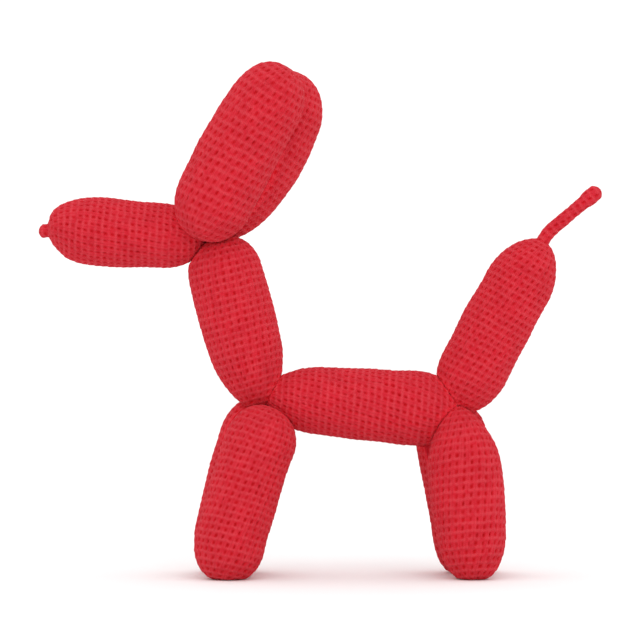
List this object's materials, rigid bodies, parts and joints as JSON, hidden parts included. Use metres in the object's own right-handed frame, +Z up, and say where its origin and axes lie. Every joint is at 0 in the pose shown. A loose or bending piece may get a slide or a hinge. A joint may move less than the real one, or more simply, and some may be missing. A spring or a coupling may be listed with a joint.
{
  "type": "crocheted balloon poodle toy",
  "caption": "Stuffed crocheted toy in the form of a twisted-balloon dog: round-ended muzzle, ears, neck, body, legs and tail, standing on flat soles.",
  "frame": {"origin": "middle of the toy's footprint box, on the surface that it stands on", "axes": "+Z up, -X towards the nose, -Y towards the toy's left side"},
  "size_m": [0.3377, 0.0861, 0.3068],
  "materials": {
    "red_crochet": "matt cotton yarn in single crochet, with a faint fuzz"
  },
  "bodies": {
    "root": {"muzzle": "red_crochet", "left_ear": "red_crochet", "right_ear": "red_crochet", "neck": "red_crochet", "body": "red_crochet", "left_front_leg": "red_crochet", "right_front_leg": "red_crochet", "left_rear_leg": "red_crochet", "right_rear_leg": "red_crochet", "tail": "red_crochet"}
  },
  "joints": []
}
